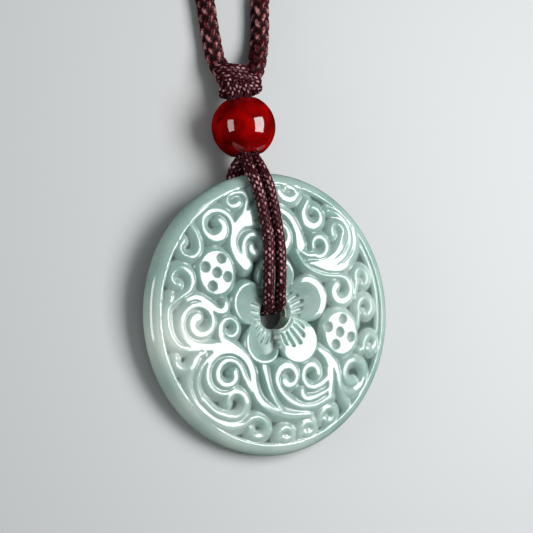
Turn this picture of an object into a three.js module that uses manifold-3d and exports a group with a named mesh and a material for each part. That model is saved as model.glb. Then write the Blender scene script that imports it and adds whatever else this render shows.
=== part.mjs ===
// Jade peace buckle pendant: a round jade carved with scrolls, two seed pods and a five-petal
// blossom round its bore, hung by a doubled satin cord through one agate bead from a braided cord.
// Millimetres, +Z up. The pendant lies face up on z = 0 with the bead and the cord towards +Y.
import * as THREE from 'three';
import { mergeVertices } from 'three/addons/utils/BufferGeometryUtils.js';
import Module from 'manifold-3d';

// The jade
const discDiameter = 44;
const rimThickness = 3.4;
const rimRounding = 1.2;
const bandWidth = 1.2; // plain band left round the carving
const crownRise = 1.2; // the tops of the carving stand this far above the band at the middle
const groundDepth = 1.2; // from the tops of the carving down to its ground
const boreDiameter = 4.8;
const boreChamfer = 1.0; // at the back
const eyeDiameter = 6.6; // where the petals dip into the bore
const eyeDepth = 1.6; // from the crown down to the petals' inner ends
const petalCount = 5;
const podDiameter = 6.6;
const podHoleDiameter = 1.7;
const podHoleDepth = 0.9;

// The bead and the cords
const beadDiameter = 10;
const strandDiameter = 1.85;
const braidDiameter = 3.2;
const bundleDiameter = 3.8; // the four strands pressed together in the bead
const knotLength = 3.4; // of the wrap knot, along the cord
const knotWidth = 7.6;
const knotHeight = 4.4;
const clearance = 0.3;

// The necklace coil
const coilDiameter = 35; // at the middle of its turns
const coilTurnsWide = 3;
const coilTurnsHigh = 2;
const coilCentreX = 4.4;

const wasm = await Module();
wasm.setup();

const discRadius = discDiameter / 2;
const bandInner = discRadius - bandWidth;
const boreRadius = boreDiameter / 2;
const eyeRadius = eyeDiameter / 2;
const beadRadius = beadDiameter / 2;
const strandRadius = strandDiameter / 2;
const braidRadius = braidDiameter / 2;
const crownTop = rimThickness + crownRise;
const layout = discRadius / 22; // the carving is laid out on a disc of radius 22
const degree = Math.PI / 180;

// The disc leans on the two strands that pass under it: its low edge is on the ground, and
// its back clears the strands at the edge of the bore.
const lowEdge = discRadius - rimRounding;
const lean = Math.atan((strandDiameter + clearance) / (lowEdge + boreRadius + boreChamfer));
const lift = lowEdge * Math.sin(lean) + rimRounding * (1 - Math.cos(lean));

function finish(color, roughness) {
  return new THREE.MeshStandardMaterial({ color, roughness, metalness: 0 });
}

function toSolid(geometry) {
  for (const name of Object.keys(geometry.attributes)) {
    if (name !== 'position') geometry.deleteAttribute(name);
  }
  const merged = mergeVertices(geometry, 1e-5);
  const triVerts = new Uint32Array(merged.index.array);
  const vertProperties = new Float32Array(merged.attributes.position.array);
  const solid = new wasm.Manifold(new wasm.Mesh({ numProp: 3, vertProperties, triVerts }));
  if (solid.volume() > 0) return solid;
  for (let i = 0; i < triVerts.length; i += 3) {
    [triVerts[i], triVerts[i + 1]] = [triVerts[i + 1], triVerts[i]];
  }
  return new wasm.Manifold(new wasm.Mesh({ numProp: 3, vertProperties, triVerts }));
}

function toGeometry(solid) {
  const mesh = solid.getMesh();
  const geometry = new THREE.BufferGeometry();
  geometry.setAttribute('position', new THREE.BufferAttribute(mesh.vertProperties, 3));
  geometry.setIndex(new THREE.BufferAttribute(mesh.triVerts, 1));
  return geometry;
}

// A closed body through rings of equally many points; the ends get flat caps unless the rings
// run round to the first one again.
function loft(rings, closed = false) {
  const sides = rings[0].length;
  const points = rings.flat(2);
  const index = [];
  const last = closed ? rings.length : rings.length - 1;
  for (let i = 0; i < last; i++) {
    const a = i * sides;
    const b = ((i + 1) % rings.length) * sides;
    for (let j = 0; j < sides; j++) {
      const k = (j + 1) % sides;
      index.push(a + j, b + j, b + k, a + j, b + k, a + k);
    }
  }
  if (!closed) {
    const end = (rings.length - 1) * sides;
    for (let j = 1; j < sides - 1; j++) {
      index.push(0, j, j + 1, end, end + j + 1, end + j);
    }
  }
  const geometry = new THREE.BufferGeometry();
  geometry.setAttribute('position', new THREE.Float32BufferAttribute(points, 3));
  geometry.setIndex(index);
  return toSolid(geometry);
}

function lathe(profile, segments) {
  const points = profile.map(([r, z]) => new THREE.Vector2(r, z));
  return toSolid(new THREE.LatheGeometry([...points, points[0]], segments).rotateX(Math.PI / 2));
}

function arc(centreR, centreZ, radius, from, to, steps) {
  return Array.from({ length: steps + 1 }, (_, i) => {
    const angle = (from + ((to - from) * i) / steps) * degree;
    return [centreR + radius * Math.cos(angle), centreZ + radius * Math.sin(angle)];
  });
}

// The face is cut flat first, with its tops at crownTop, and then sinks towards the band.
function crownDrop(radius) {
  return crownRise * Math.min(1, radius / bandInner) ** 2;
}

function crowned(geometry) {
  const position = geometry.attributes.position;
  for (let i = 0; i < position.count; i++) {
    if (position.getZ(i) < rimThickness / 2) continue;
    const radius = Math.hypot(position.getX(i), position.getY(i));
    position.setZ(i, position.getZ(i) - crownDrop(radius));
  }
  return geometry;
}

// The scrolls. width runs from the root to the curl's eye; stem is a list of [x, y] from the
// root; the curl is a spiral about x, y from its outer end inwards, turn in degrees.
const scrolls = [
  { width: [1.1, 1.5], stem: [[-7.1, 12.2]],
    curl: { x: -9.8, y: 14.2, outer: 3.0, inner: 1.2, start: -15, turn: 420 } },
  { width: [1.3, 1.2], stem: [[-4.9, 15.4]],
    curl: { x: -5.9, y: 18.0, outer: 2.1, inner: 0.95, start: -35, turn: 350, squash: 0.68 } },
  { width: [1.0, 1.5], stem: [[-13.9, 15.0], [-13.3, 13.4]],
    curl: { x: -14.8, y: 11.4, outer: 1.7, inner: 1.45, start: 0, turn: -190 } },
  { width: [1.2, 1.4], stem: [[-19.4, 2.6], [-17.4, 3.9]],
    curl: { x: -17.0, y: 6.7, outer: 2.1, inner: 0.85, start: -50, turn: 310 } },
  { width: [1.7, 1.5], stem: [[-11.6, -4.2]],
    curl: { x: -14.6, y: 0.1, outer: 3.8, inner: 1.0, start: 265, turn: -520 } },
  { width: [1.4, 1.2], stem: [[-16.0, 3.3], [-14.3, 3.6], [-12.4, 2.4], [-11.3, 1.5]],
    curl: { x: -10.3, y: 2.2, outer: 1.0, inner: 0.9, start: -110, turn: 125 } },
  { width: [1.3, 1.5],
    stem: [[-18.5, 4.2], [-19.7, 1.5], [-19.5, -1.5], [-17.9, -3.6], [-14.8, -4.4]] },
  { width: [1.6, 1.3],
    stem: [[-5.4, 7.7], [-6.5, 9.4], [-7.0, 11.5], [-6.3, 13.9], [-4.6, 15.7], [-1.6, 16.6]] },
  { width: [1.2, 1.3], stem: [[-4.7, 8.0], [-5.4, 9.5]],
    curl: { x: -3.3, y: 10.8, outer: 2.1, inner: 0.85, start: 165, turn: -330 } },
  { width: [1.3, 1.1], stem: [[-7.6, -5.2], [-9.3, -3.9], [-10.6, -2.9]],
    curl: { x: -9.1, y: -1.5, outer: 1.7, inner: 1.05, start: 190, turn: -330 } },
  { width: [1.2, 1.6], stem: [[-13.8, -4.7], [-15.4, -5.2]],
    curl: { x: -17.5, y: -5.5, outer: 1.5, inner: 1.25, start: -30, turn: -155 } },
  { width: [1.5, 1.4], stem: [[-11.6, -4.2], [-8.7, -4.9], [-6.8, -6.2], [-5.9, -8.2], [-5.8, -10.7],
    [-4.8, -13.1], [-2.4, -15.0], [0.8, -16.0], [4.2, -16.2]] },
  { width: [1.2, 1.4], stem: [[-6.2, -11.2], [-7.2, -9.2]],
    curl: { x: -10.2, y: -8.5, outer: 2.5, inner: 1.25, start: 25, turn: 345 } },
  { width: [1.3, 1.3], stem: [[-7.4, -5.8]],
    curl: { x: -10.9, y: -8.6, outer: 3.8, inner: 2.5, start: 70, turn: 235 } },
  { width: [1.0, 0.9], stem: [[-12.0, -4.9], [-14.6, -6.7], [-15.6, -9.3], [-14.9, -11.8]] },
  { width: [1.3, 1.5], stem: [[-14.5, -11.9], [-12.6, -13.9]],
    curl: { x: -9.2, y: -12.9, outer: 2.1, inner: 1.4, start: 250, turn: 275 } },
  { width: [1.3, 1.6],
    stem: [[-15.0, -5.4], [-16.8, -8.5], [-16.2, -11.6], [-13.8, -14.5], [-10.6, -16.4], [-7.8, -16.4]],
    curl: { x: -5.4, y: -17.3, outer: 2.1, inner: 1.3, start: 120, turn: -310, squash: 0.85 } },
  { width: [1.2, 1.0], stem: [[-4.4, -7.9], [-4.4, -10.2], [-3.3, -12.8], [-1.8, -14.3]] },
  { width: [1.1, 1.0], stem: [[-2.7, -7.9], [-2.9, -10.2], [-1.7, -12.6], [0.3, -14.6]] },
  { width: [1.2, 1.4], stem: [[8.6, -13.9], [5.2, -15.0], [2.0, -14.4], [-0.4, -12.6]],
    curl: { x: 0.7, y: -10.0, outer: 2.2, inner: 1.0, start: 190, turn: -360 } },
  { width: [1.4, 1.1], stem: [[6.1, -6.4], [8.0, -8.0], [8.3, -10.2], [7.1, -11.7]],
    curl: { x: 5.2, y: -9.9, outer: 1.9, inner: 1.1, start: -90, turn: -275 } },
  { width: [1.3, 1.0], stem: [[7.2, -6.6], [9.2, -8.6], [9.2, -11.2], [8.6, -13.6]] },
  { width: [1.1, 1.3], stem: [[9.6, -8.8], [10.3, -10.6], [10.2, -13.0], [11.7, -15.4]] },
  { width: [1.1, 1.0], stem: [[8.0, -12.7], [6.0, -13.5]],
    curl: { x: 4.2, y: -12.5, outer: 1.35, inner: 1.2, start: 270, turn: -85 } },
  { width: [1.4, 1.4], stem: [[12.2, -8.0]],
    curl: { x: 13.2, y: -10.8, outer: 3.2, inner: 1.1, start: 200, turn: 440 } },
  { width: [1.4, 1.4], stem: [[4.2, 9.4], [5.6, 7.2], [8.0, 5.7], [10.2, 5.1]],
    curl: { x: 12.0, y: 2.7, outer: 2.4, inner: 1.0, start: 100, turn: -325 } },
  { width: [1.2, 1.1], stem: [[4.9, 9.6], [6.4, 8.8]],
    curl: { x: 8.6, y: 10.1, outer: 1.6, inner: 1.15, start: 230, turn: 320 } },
  { width: [1.2, 1.4], stem: [[7.6, 17.2]],
    curl: { x: 8.2, y: 14.8, outer: 1.8, inner: 1.3, start: 160, turn: 290 } },
  { width: [1.5, 1.2], stem: [[6.4, 7.5], [9.6, 7.6], [12.3, 8.8]],
    curl: { x: 12.6, y: 12.0, outer: 1.6, inner: 1.0, start: -25, turn: 225 } },
  { width: [1.1, 1.0], stem: [[8.2, 6.9], [12.2, 7.5]],
    curl: { x: 11.0, y: 11.6, outer: 4.2, inner: 3.9, start: -30, turn: 115 } },
  { width: [1.1, 1.0], stem: [[9.4, 5.9], [12.8, 6.3]],
    curl: { x: 11.0, y: 11.6, outer: 5.5, inner: 5.3, start: -38, turn: 45 } },
  { width: [1.6, 1.1], stem: [[5.1, 10.3], [4.8, 12.4], [3.7, 14.8], [2.2, 16.0]] },
  { width: [1.2, 1.1], stem: [],
    curl: { x: 0.8, y: 12.0, outer: 2.0, inner: 1.9, start: -60, turn: 150 } },
  // small curls along the band
  { width: [1.2, 1.2], stem: [],
    curl: { x: -0.2, y: -18.9, outer: 1.5, inner: 0.85, start: 200, turn: -320, squash: 0.8 } },
  { width: [1.2, 1.2], stem: [],
    curl: { x: 4.0, y: -18.5, outer: 1.6, inner: 0.85, start: 200, turn: -320, squash: 0.8 } },
  { width: [1.2, 1.3], stem: [],
    curl: { x: 8.0, y: -16.9, outer: 1.8, inner: 0.9, start: 190, turn: -330, squash: 0.85 } },
  { width: [1.2, 1.3], stem: [[14.9, -7.2]],
    curl: { x: 17.3, y: -6.5, outer: 1.9, inner: 0.9, start: 190, turn: -320, squash: 0.85 } },
  { width: [1.2, 1.3], stem: [[14.7, -3.0]],
    curl: { x: 16.8, y: -0.6, outer: 2.0, inner: 1.0, start: 200, turn: -320, squash: 0.9 } },
  { width: [1.2, 1.3], stem: [[14.6, 1.8]],
    curl: { x: 16.7, y: 4.2, outer: 1.8, inner: 0.9, start: 200, turn: -320, squash: 0.85 } },
  { width: [1.4, 1.2], stem: [],
    curl: { x: 4.3, y: 18.9, outer: 1.9, inner: 0.9, start: 180, turn: 310, squash: 0.8 } },
  { width: [1.2, 1.2], stem: [],
    curl: { x: -1.3, y: 18.9, outer: 1.5, inner: 0.85, start: 200, turn: -320, squash: 0.8 } },
];
const turnStep = 47; // degrees between two stations of a curl
const stemStep = 3.5; // longest stride along a stem
const shoulder = 0.2; // how far a scroll's side slopes in at its top, and out at its foot
const rooting = 0.4; // how far a scroll reaches into the ground

function scrollPath({ stem, curl }) {
  const points = stem.map(([x, y]) => new THREE.Vector3(x, y, 0));
  if (curl) {
    const { x, y, outer, inner, start, turn, squash = 1 } = curl;
    const count = Math.max(2, Math.round(Math.abs(turn) / turnStep));
    const outward = new THREE.Vector3(x, y, 0).normalize();
    for (let i = 0; i <= count; i++) {
      const angle = (start + (turn * i) / count) * degree;
      const radius = outer + ((inner - outer) * i) / count;
      const offset = new THREE.Vector3(radius * Math.cos(angle), radius * Math.sin(angle), 0);
      offset.addScaledVector(outward, (squash - 1) * offset.dot(outward));
      points.push(offset.add(new THREE.Vector3(x, y, 0)));
    }
  }
  const curve = new THREE.CatmullRomCurve3(points);
  const spans = points.length - 1;
  const path = [];
  for (let i = 0; i < spans; i++) {
    const steps = Math.max(1, Math.round(points[i].distanceTo(points[i + 1]) / stemStep));
    for (let k = 0; k < steps; k++) path.push(curve.getPoint((i + k / steps) / spans));
  }
  path.push(points[spans]);
  return path;
}

// One scroll: a flat-topped ridge with sloping sides. A curl that comes round to itself is made
// in stretches that lap over each other, every other one a hair smaller.
const freeTurn = 240; // degrees that one stretch can turn without touching itself
const lap = 0.02;
function scrollSolids(scroll) {
  const path = scrollPath(scroll);
  const last = path.length - 1;
  const ring = (i, smaller) => {
    const point = path[i];
    const along = path[Math.min(last, i + 1)].clone().sub(path[Math.max(0, i - 1)]).normalize();
    const width = scroll.width[0] + ((scroll.width[1] - scroll.width[0]) * i) / last;
    const corner = (side, out, drop) => {
      const reach = side * (width / 2 + out - smaller);
      const x = (point.x - along.y * reach) * layout;
      const y = (point.y + along.x * reach) * layout;
      return [x, y, crownTop - drop - smaller];
    };
    const foot = groundDepth + rooting;
    const left = [corner(-1, shoulder, foot), corner(-1, -shoulder, 0)];
    return [...left, corner(1, -shoulder, 0), corner(1, shoulder, foot)];
  };
  const between = (i, share, smaller) => {
    const next = ring(i + 1, smaller);
    const mix = (value, other) => value + (other - value) * share;
    return ring(i, smaller).map((corner, k) => corner.map((value, axis) => mix(value, next[k][axis])));
  };
  const stretches = Math.max(1, Math.ceil(Math.abs(scroll.curl?.turn ?? 0) / freeTurn));
  const stretch = Math.ceil(last / stretches);
  const solids = [];
  let from = 0;
  while (from < last) {
    const smaller = solids.length % 2 ? lap : 0;
    const to = Math.min(last, from + stretch);
    const rings = Array.from({ length: to - from + 1 }, (_, k) => ring(from + k, smaller));
    if (from > 0) rings.unshift(between(from - 1, 0.6, smaller));
    if (to < last) rings.push(between(to, 0.3, smaller));
    solids.push(loft(rings));
    from = to;
  }
  return solids;
}

// The turned body: plain back, rounded rim, band, sunk ground, and the eye down to the bore
function discBody() {
  const ground = crownTop - groundDepth;
  const rimCentre = discRadius - rimRounding;
  const bandEase = 0.15;
  return lathe([
    [boreRadius, boreChamfer],
    [boreRadius + boreChamfer, 0],
    ...arc(rimCentre, rimRounding, rimRounding, -90, 0, 2),
    ...arc(rimCentre, crownTop - rimRounding, rimRounding, 0, 90, 2),
    [bandInner, crownTop],
    [bandInner - bandEase, ground],
    [blossomReach, ground],
    [eyeRadius, ground - eyeDepth / 2],
    [boreRadius, ground - eyeDepth],
  ], 48);
}

// The blossom: lobes round the eye, each dipping to the bore, with a raised outer edge
const petalCentre = 5.7;
const petalRadius = 3.45;
const petalFirst = 18; // degrees
const blossomReach = (petalCentre + petalRadius) * layout;
function blossom() {
  const perPetal = 8;
  const halfPetal = 180 / petalCount;
  const rings = [];
  for (let i = 0; i < petalCount * perPetal; i++) {
    const off = ((((i % perPetal) + 0.5) / perPetal) * 2 - 1) * halfPetal;
    const angle = (petalFirst + Math.floor(i / perPetal) * 2 * halfPetal + off) * degree;
    const sideways = petalCentre * Math.sin(off * degree);
    const chord = Math.sqrt(petalRadius ** 2 - sideways ** 2);
    const reach = (petalCentre * Math.cos(off * degree) + chord) * layout;
    const cleft = 0.9 * Math.abs(off / halfPetal) ** 4;
    const at = (share, drop) => {
      const radius = eyeRadius + (reach - eyeRadius) * share;
      return [radius * Math.cos(angle), radius * Math.sin(angle), crownTop - drop - cleft * share];
    };
    rings.push([
      at(0, eyeDepth + groundDepth),
      at(0, eyeDepth),
      at(0.3, eyeDepth * 0.62),
      at(0.62, 0.42),
      at(0.84, 0.05),
      at(0.94, 0.08),
      at(1, 0.4),
      at(1.04, groundDepth + rooting),
    ]);
  }
  return loft(rings, true);
}

// Seed pods: an oval head with a rounded edge and five round seed holes
const pods = [
  { x: -10.6, y: 7.2, wide: 0.94,
    holes: [[0.1, 0], [1.1, 2.1], [-1.8, 1.0], [1.9, -0.8], [-0.9, -2.0]] },
  { x: 11.3, y: -4.1, wide: 0.97,
    holes: [[-0.2, 0.2], [0.6, 2.2], [-2.3, 1.2], [1.9, -0.8], [-1.2, -1.7]] },
];
function podSolid({ x, y, wide }) {
  const sides = 14;
  const ring = (share, drop) => Array.from({ length: sides }, (_, i) => {
    const angle = (i / sides) * 2 * Math.PI;
    const px = (x + (podDiameter / 2) * share * wide * Math.cos(angle)) * layout;
    const py = (y + (podDiameter / 2) * share * 1.06 * Math.sin(angle)) * layout;
    return [px, py, crownTop - drop];
  });
  return loft([ring(1.06, groundDepth + rooting), ring(1.0, 0.45), ring(0.93, 0.1), ring(0.8, 0)]);
}
function podHoles({ x, y, holes }) {
  return holes.map(([dx, dy]) => {
    const px = (x + dx) * layout;
    const py = (y + dy) * layout;
    const radius = podHoleDiameter / 2;
    const cutter = new THREE.CylinderGeometry(radius, radius * 0.8, podHoleDepth * 2, 8);
    return toSolid(cutter.rotateX(Math.PI / 2).translate(px, py, crownTop));
  });
}

function carvedDisc() {
  const raised = [...scrolls.flatMap(scrollSolids), ...pods.map(podSolid)];
  let solid = discBody();
  for (const piece of raised) solid = solid.add(piece);
  solid = solid.add(blossom());
  for (const hole of pods.flatMap(podHoles)) solid = solid.subtract(hole);
  return crowned(toGeometry(solid));
}

function bead() {
  const bore = bundleDiameter / 2 + clearance;
  const edge = Math.acos(bore / beadRadius) / degree;
  return lathe(arc(0, 0, beadRadius, -edge, edge, 8), 20);
}

// Routes of the cords. The front of each strand lies on the jade, and its back on the ground.
const beadAt = [-1.0, 29.3, beadRadius];
const strandRoutes = [
  [[-1.7, 24.6, 5.7], [-2.2, 23.2, 6.7], [-2.5, 21.6, 7.9], [-2.3, 19.6, 8.6], [-2.0, 17.1, 8.65],
    [-1.7, 14.0, 8.6], [-1.5, 10.9, 8.5], [-1.9, 7.6, 8.35], [-2.2, 4.6, 8.0], [-1.9, 2.7, 6.9],
    [-1.2, 1.2, 5.6], [-0.94, 0.7, 4.4], [-0.93, 0.6, 3.1], [-0.95, 1.0, 1.9], [-1.0, 2.3, 1.1],
    [-1.1, 3.8, 0.95], [-1.4, 8.0, 0.97], [-1.9, 13.0, 0.97], [-2.4, 18.0, 0.98], [-2.5, 21.5, 1.7],
    [-2.2, 23.4, 3.0], [-1.7, 24.6, 4.3]],
  [[-0.3, 24.6, 5.7], [-0.3, 23.2, 6.7], [-0.4, 21.6, 7.9], [-0.2, 19.6, 8.6], [0.1, 17.1, 8.65],
    [0.35, 14.0, 8.6], [0.5, 10.9, 8.5], [0.3, 7.6, 8.35], [0.1, 4.6, 7.9], [0.4, 2.7, 6.8],
    [0.9, 1.2, 5.6], [0.95, 0.7, 4.4], [0.94, 0.6, 3.1], [0.95, 1.0, 1.9], [0.95, 2.3, 1.1],
    [0.9, 3.8, 0.95], [0.6, 8.0, 0.97], [0.2, 13.0, 0.97], [-0.3, 18.0, 0.98], [-0.5, 21.5, 1.7],
    [-0.4, 23.4, 3.0], [-0.3, 24.6, 4.3]],
];
const knotAt = [0.3, 36.4, 3.5];
const legRoutes = [
  [[-2.4, 38.9, 2.9], [-2.6, 40.4, 2.3], [-2.6, 43.0, 1.75], [-2.7, 46.5, 1.62], [-2.8, 50.6, 1.62],
    [-3.6, 54.4, 1.62], [-5.4, 58.0, 1.62]],
  [[3.9, 38.9, 2.9], [5.0, 40.4, 2.3], [6.1, 43.0, 1.75], [6.9, 46.5, 1.62], [7.6, 50.6, 1.62],
    [9.2, 54.0, 1.62], [11.6, 57.2, 1.62]],
];

function curveThrough(points) {
  return new THREE.CatmullRomCurve3(points.map((point) => new THREE.Vector3(...point)));
}

function tube(points, radius, steps, sides = 8) {
  const section = new THREE.Shape();
  for (let i = 0; i < sides; i++) {
    const angle = ((i + 0.5) / sides) * 2 * Math.PI;
    if (i === 0) section.moveTo(radius * Math.cos(angle), radius * Math.sin(angle));
    else section.lineTo(radius * Math.cos(angle), radius * Math.sin(angle));
  }
  return toSolid(new THREE.ExtrudeGeometry(section, { steps, extrudePath: curveThrough(points) }));
}

// One loop of the wrap knot round both ends of the braid
const wrapHalfWide = knotWidth / 2 - strandRadius;
const wrapHalfHigh = knotHeight / 2 - strandRadius;
function wrapLoop(alongY, tilt) {
  const count = 14;
  const points = Array.from({ length: count }, (_, i) => {
    const angle = (i / count) * 2 * Math.PI;
    const x = wrapHalfWide * Math.sign(Math.cos(angle)) * Math.abs(Math.cos(angle)) ** 0.7;
    const z = wrapHalfHigh * Math.sign(Math.sin(angle)) * Math.abs(Math.sin(angle)) ** 0.7;
    return new THREE.Vector3(knotAt[0] + x, knotAt[1] + alongY + tilt * x, knotAt[2] + z);
  });
  const route = new THREE.CatmullRomCurve3(points, true);
  return toSolid(new THREE.TubeGeometry(route, count, strandRadius, 6, true));
}

function hangerCord() {
  const bundleRadius = bundleDiameter / 2;
  const bundleStart = strandRoutes[0][0][1] - 0.4;
  const bundleEnd = knotAt[1];
  const bundle = new THREE.CylinderGeometry(bundleRadius, bundleRadius, bundleEnd - bundleStart, 12);
  bundle.translate(beadAt[0], (bundleStart + bundleEnd) / 2, beadAt[2]);
  const intoWraps = 0.35;
  const heart = new THREE.CylinderGeometry(1, 1, knotLength, 12);
  heart.scale(wrapHalfWide + intoWraps, 1, wrapHalfHigh + intoWraps).translate(...knotAt);
  const pieces = [
    ...strandRoutes.map((route) => tube(route, strandRadius, 21)),
    toSolid(bundle),
    toSolid(heart),
    wrapLoop(-0.8, 0.06),
    wrapLoop(0.8, -0.08),
  ];
  return pieces.reduce((whole, piece) => whole.add(piece));
}

// The rest of the necklace cord: a coil of round section turns, as one ring
function coilSolid() {
  const halfWide = (coilTurnsWide * braidDiameter) / 2;
  const high = coilTurnsHigh * braidDiameter;
  const ease = braidRadius * 0.6;
  const inner = coilDiameter / 2 - halfWide;
  const outer = coilDiameter / 2 + halfWide;
  return lathe([
    [inner + ease, 0], [outer - ease, 0], [outer, ease], [outer, high - ease],
    [outer - ease, high], [inner + ease, high], [inner, high - ease], [inner, ease],
  ], 20);
}

const jade = finish(0xa8c2b6, 0.22);
const agate = finish(0x9c0f0c, 0.1);
const satin = finish(0x3a1016, 0.55);

const pendant = new THREE.Group();
function place(name, geometry, material, parent = pendant) {
  const mesh = new THREE.Mesh(geometry, material);
  mesh.name = name;
  parent.add(mesh);
  return mesh;
}

const leaning = new THREE.Group();
leaning.rotation.x = lean;
leaning.position.z = lift;
pendant.add(leaning);
const disc = place('jade_disc', carvedDisc(), jade, leaning);

const beadMesh = place('agate_bead', toGeometry(bead()), agate);
beadMesh.position.set(...beadAt);
beadMesh.rotation.x = -Math.PI / 2;

const hanger = place('hanger_cord', toGeometry(hangerCord()), satin);
// The coil starts past the ends of both legs.
const coilOuter = (coilDiameter + coilTurnsWide * braidDiameter) / 2;
const coilCentreY = legRoutes[0].at(-1)[1] + clearance + coilOuter;
place('necklace_cord_left', toGeometry(tube(legRoutes[0], braidRadius, 7)), satin);
place('necklace_cord_right', toGeometry(tube(legRoutes[1], braidRadius, 7)), satin);
const coilMesh = place('necklace_coil', toGeometry(coilSolid()), satin);
coilMesh.position.set(coilCentreX, coilCentreY, 0);

// The origin lies on the ground under the middle of the jade, the bead and the hanger.
pendant.updateMatrixWorld(true);
const span = new THREE.Box3();
for (const mesh of [disc, beadMesh, hanger]) span.expandByObject(mesh, true);
pendant.position.y = -(span.min.y + span.max.y) / 2;

export default pendant;
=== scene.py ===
import math

import bpy
import numpy as np
from mathutils import Matrix, Vector
from mathutils.geometry import delaunay_2d_cdt


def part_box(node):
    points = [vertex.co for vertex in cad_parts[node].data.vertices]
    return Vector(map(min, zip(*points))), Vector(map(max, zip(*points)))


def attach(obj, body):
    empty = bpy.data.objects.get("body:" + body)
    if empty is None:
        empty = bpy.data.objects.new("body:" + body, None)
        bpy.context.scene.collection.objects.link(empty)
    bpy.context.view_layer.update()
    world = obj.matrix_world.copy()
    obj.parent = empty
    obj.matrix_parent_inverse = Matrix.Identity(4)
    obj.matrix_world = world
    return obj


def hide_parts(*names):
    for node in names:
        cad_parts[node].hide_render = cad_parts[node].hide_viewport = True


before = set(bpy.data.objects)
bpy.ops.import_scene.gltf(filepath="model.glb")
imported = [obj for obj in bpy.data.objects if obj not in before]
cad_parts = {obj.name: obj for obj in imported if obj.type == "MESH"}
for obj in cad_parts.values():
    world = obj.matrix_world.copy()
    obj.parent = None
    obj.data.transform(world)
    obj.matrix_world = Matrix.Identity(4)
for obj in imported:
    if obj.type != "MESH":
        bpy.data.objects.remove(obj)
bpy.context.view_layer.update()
mm = 0.001
print("frame loaded")

# Everything is laid out in millimetres with the jade's centre at x = y = 0, as in the part's
# source. The bead's node tells where that centre lies in the frame.
bead = {
    "at": (-1.0, 29.3, 5.0),
    "bore": 4.4,
    "mouthRounding": 0.3,
    "segments": 96,
    "rings": 64,
    "mouthSteps": 7,
    "boreSteps": 12,
}
beadLow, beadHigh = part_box("agate_bead")
layoutOrigin = np.array((beadLow + beadHigh) / 2 / mm - Vector(bead["at"]))
beadRadius = (beadHigh.z - beadLow.z) / 2 / mm


def toFrame(points):
    return (np.asarray(points, float) + layoutOrigin) * mm


def addObject(name, data):
    made = bpy.data.objects.new(name, data)
    bpy.context.scene.collection.objects.link(made)
    return made


# Camera and light

camera = {
    "eye": (-144.57, -12.73, 229.65),
    "target": (0.93, 7.36, 3.09),
    "up": (0.0747, 0.988, 0.1355),
    "lens": 116.18,
    "sensor": 36.0,
    "nearest": 0.01,
}


def facing(eye, target, up):
    back = (Vector(eye) - Vector(target)).normalized()
    right = Vector(up).cross(back).normalized()
    turn = Matrix((right, back.cross(right), back)).transposed()
    return Matrix.Translation(Vector(eye)) @ turn.to_4x4()


def makeCamera():
    data = bpy.data.cameras.new("camera")
    data.lens = camera["lens"]
    data.sensor_width = camera["sensor"]
    data.clip_start = camera["nearest"]
    made = addObject("camera", data)
    made.matrix_world = facing(toFrame(camera["eye"]), toFrame(camera["target"]), camera["up"])
    bpy.context.scene.camera = made


# Each light looks at the aim from a direction and a distance. The aim is in the layout's
# millimetres, the other lengths are in metres and the power is in watts.
studio = {
    "aim": (0.0, 8.0, 4.0),
    "sky": (0.55, 0.6, 0.62),
    "skyStrength": 0.42,
    "floor": (0.5, 0.51, 0.51),
    "floorSize": 3.0,
    "floorRoughness": 0.85,
    "lights": [
        {"name": "keyBox", "towards": (0.47, 0.04, 0.88), "away": 0.2,
         "size": (0.13, 0.17), "power": 0.56, "color": (1.0, 1.0, 1.0)},
        {"name": "sideBox", "towards": (-0.97, 0.12, 0.21), "away": 0.5,
         "size": (0.2, 0.34), "power": 0.9, "color": (1.0, 0.97, 0.95)},
    ],
}


def makeStudio():
    world = bpy.data.worlds.new("sky")
    bpy.context.scene.world = world
    world.use_nodes = True
    background = world.node_tree.nodes["Background"]
    background.inputs["Color"].default_value = (*studio["sky"], 1)
    background.inputs["Strength"].default_value = studio["skyStrength"]
    # polished stone and satin mirror only the two lights
    world.cycles_visibility.glossy = False
    centre = Vector(toFrame(studio["aim"]))
    for light in studio["lights"]:
        data = bpy.data.lights.new(light["name"], "AREA")
        data.shape = "RECTANGLE"
        data.size, data.size_y = light["size"]
        data.energy = light["power"]
        data.color = light["color"]
        lamp = addObject(light["name"], data)
        lamp.visible_camera = False
        eye = centre + Vector(light["towards"]).normalized() * light["away"]
        lamp.matrix_world = facing(eye, centre, (0, 1, 0))
    half = studio["floorSize"] / 2
    mesh = bpy.data.meshes.new("floor")
    corners = [(-half, -half, 0), (half, -half, 0), (half, half, 0), (-half, half, 0)]
    mesh.from_pydata(corners, [], [(0, 1, 2, 3)])
    floor = addObject("floor", mesh)
    floor.visible_glossy = False
    material = bpy.data.materials.new("paleFloor")
    material.use_nodes = True
    shader = material.node_tree.nodes["Principled BSDF"]
    shader.inputs["Base Color"].default_value = (*studio["floor"], 1)
    shader.inputs["Roughness"].default_value = studio["floorRoughness"]
    mesh.materials.append(material)
    bpy.context.scene.view_settings.view_transform = "Standard"


makeCamera()
makeStudio()
print("camera and light made")


# Lines and tubes

def eased(share):
    t = np.clip(share, 0, 1)
    return t * t * (3 - 2 * t)


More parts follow.
